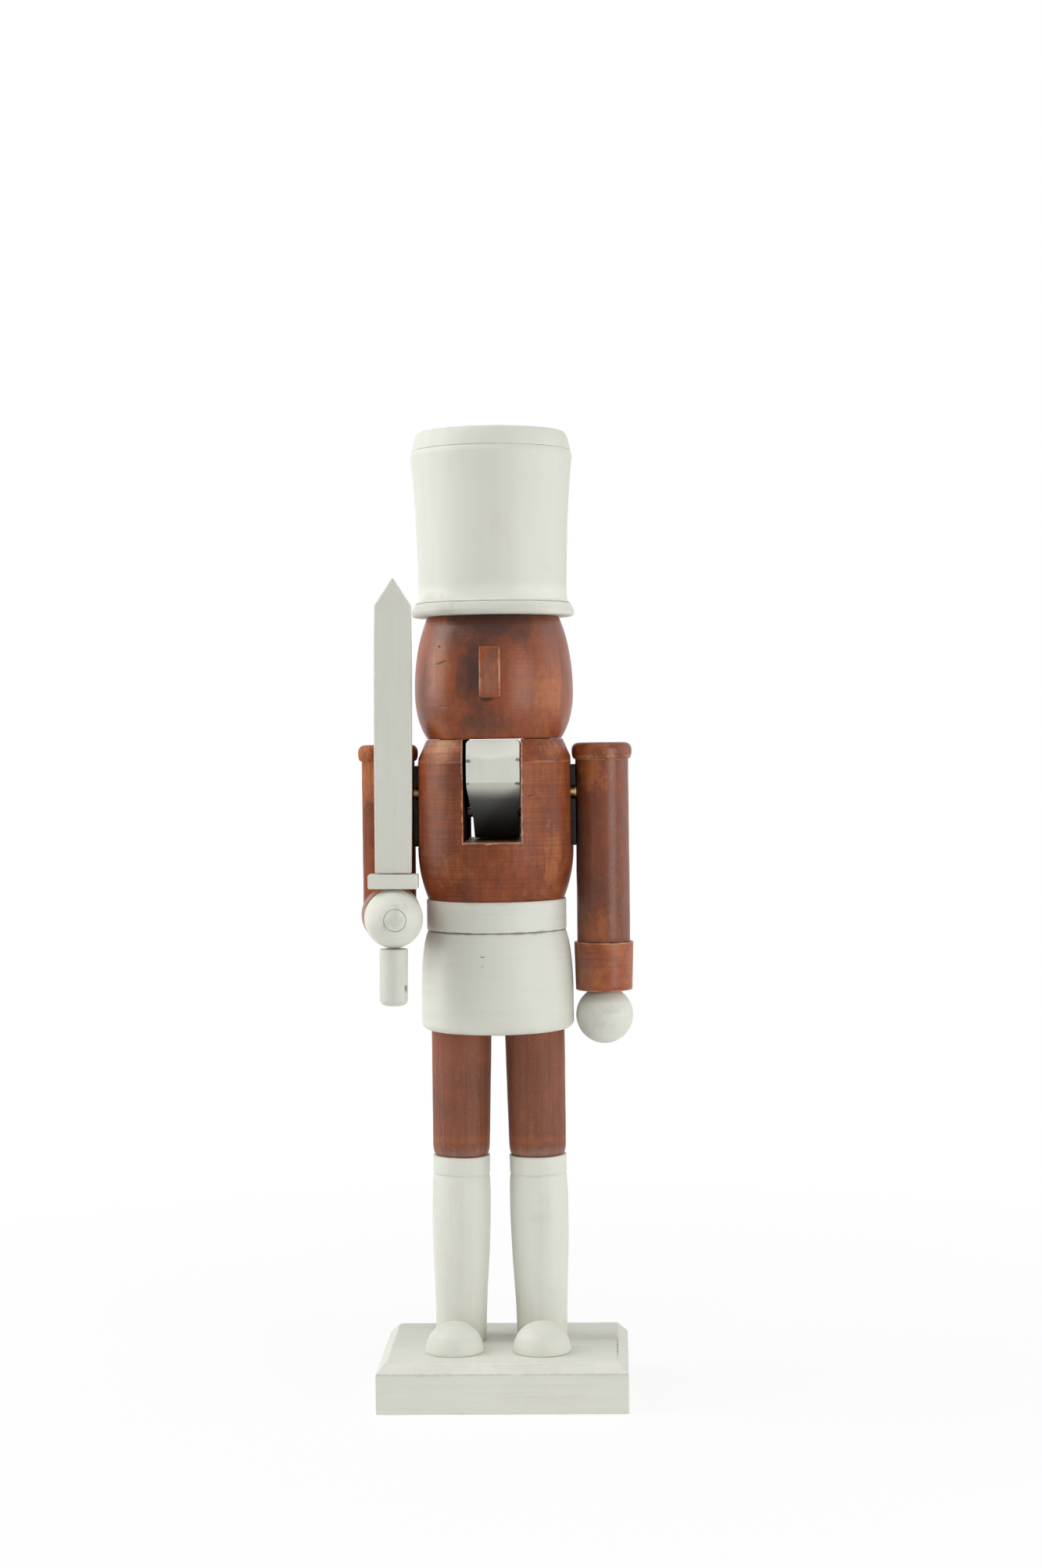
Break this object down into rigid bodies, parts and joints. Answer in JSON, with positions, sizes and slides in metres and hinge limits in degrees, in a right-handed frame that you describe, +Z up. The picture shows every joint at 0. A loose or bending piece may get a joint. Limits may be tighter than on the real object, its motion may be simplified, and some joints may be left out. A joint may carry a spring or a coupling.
{
  "type": "nutcracker figure",
  "caption": "Standing wooden nutcracker soldier whose jaw opens by a lever down its back, with turning arms, a sword, a tall hat and a chamfered base.",
  "frame": {"origin": "on the base's underside, in front of the soldier's axis", "axes": "+Z up, the figure faces -Y, and +X is the viewer's right"},
  "size_m": [0.1094, 0.0908, 0.3822],
  "materials": {
    "white_paint": "off-white paint, satin, brushed on",
    "red_brown_stain": "reddish-brown stain under a satin varnish",
    "bare_wood": "bare",
    "black_felt": "matte",
    "brass": "satin",
    "steel": "plain"
  },
  "bodies": {
    "figure": {"base": "white_paint", "left_boot": "white_paint", "right_boot": "white_paint", "left_toe": "white_paint", "right_toe": "white_paint", "skirt": "white_paint", "belt": "white_paint", "hat_brim": "white_paint", "hat_crown": "white_paint", "hat_top": "white_paint", "left_leg": "red_brown_stain", "right_leg": "red_brown_stain", "torso": "red_brown_stain", "head": "red_brown_stain", "nose": "red_brown_stain", "waist_dowel": "bare_wood", "left_neck_dowel": "bare_wood", "right_neck_dowel": "bare_wood", "hat_dowel": "bare_wood", "left_shoulder_pad": "black_felt", "right_shoulder_pad": "black_felt", "left_shoulder_pin": "brass", "right_shoulder_pin": "brass", "left_base_screw": "steel", "right_base_screw": "steel", "jaw_pin": "steel"},
    "jaw": {"jaw_lever": "white_paint"},
    "hanging_arm": {"straight_arm": "red_brown_stain", "straight_cuff": "red_brown_stain", "straight_hand": "white_paint", "straight_wrist_dowel": "white_paint"},
    "sword_arm": {"sword_upper_arm": "red_brown_stain", "elbow_dowel": "bare_wood", "sword_forearm": "red_brown_stain", "sword_cuff": "red_brown_stain", "sword_hand": "white_paint", "sword_wrist_dowel": "white_paint", "sword_guard": "white_paint", "sword_blade": "white_paint", "sword_grip": "white_paint"}
  },
  "joints": [
    {"name": "jaw_hinge", "type": "hinge", "parent": "figure", "child": "jaw", "pos_m": [0, 0.01, 0.23118], "axis": [1, 0, 0], "range_deg": [0, 24]},
    {"name": "hanging_shoulder", "type": "hinge", "parent": "figure", "child": "hanging_arm", "pos_m": [0.04275, 0.005, 0.23913], "axis": [1, 0, 0], "range_deg": [-120, 45]},
    {"name": "sword_shoulder", "type": "hinge", "parent": "figure", "child": "sword_arm", "pos_m": [-0.04275, 0.005, 0.23913], "axis": [1, 0, 0], "range_deg": [-12, 9]}
  ]
}
